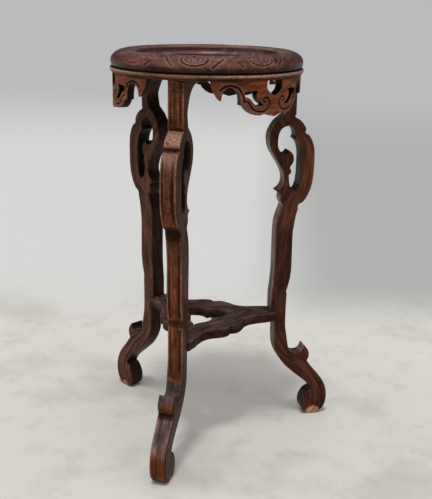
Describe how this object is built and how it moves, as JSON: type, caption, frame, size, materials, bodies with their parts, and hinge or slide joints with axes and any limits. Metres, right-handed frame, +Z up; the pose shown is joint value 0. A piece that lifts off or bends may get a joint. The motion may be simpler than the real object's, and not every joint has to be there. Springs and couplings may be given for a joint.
{
  "type": "carved side table",
  "caption": "Tall round hardwood plant or lamp stand on scroll legs, with a carved top ring and sunk panel, openwork aprons, pierced leg loops and a low triangular stretcher.",
  "frame": {"origin": "middle of the part's bounding box, on the floor under the three feet", "axes": "+Z up; -Y towards the front leg, whose plane holds the stand's upright axis; the legs are 120 degrees apart"},
  "size_m": [0.5102, 0.4746, 0.8031],
  "materials": {
    "panel": "satin, worn polish",
    "ring": "satin, waxed, reddish purple-brown with light worn carving",
    "collar": "satin, tan where the bead is worn",
    "apron": "satin, orange-brown with dark carved lines",
    "leg": "satin, orange-brown faces and dark sides",
    "rail": "dull, dusty",
    "hidden_wood": "bare, sawn"
  },
  "bodies": {
    "root": {"top_panel": "panel", "panel_batten": "hidden_wood", "ring_segment_1": "ring", "ring_segment_2": "ring", "ring_segment_3": "ring", "collar_1": "collar", "collar_2": "collar", "collar_3": "collar", "apron_1": "apron", "apron_2": "apron", "apron_3": "apron", "leg_1": "leg", "leg_2": "leg", "leg_3": "leg", "rail_1": "rail", "rail_2": "rail", "rail_3": "rail", "ring_tongue_1": "hidden_wood", "ring_tongue_2": "hidden_wood", "ring_tongue_3": "hidden_wood", "collar_tongue_1": "hidden_wood", "collar_tongue_2": "hidden_wood", "collar_tongue_3": "hidden_wood", "apron_pin_1a": "hidden_wood", "apron_pin_1b": "hidden_wood", "apron_pin_2a": "hidden_wood", "apron_pin_2b": "hidden_wood", "apron_pin_3a": "hidden_wood", "apron_pin_3b": "hidden_wood", "arm_key_1": "hidden_wood", "arm_key_2": "hidden_wood", "arm_key_3": "hidden_wood"}
  },
  "joints": []
}
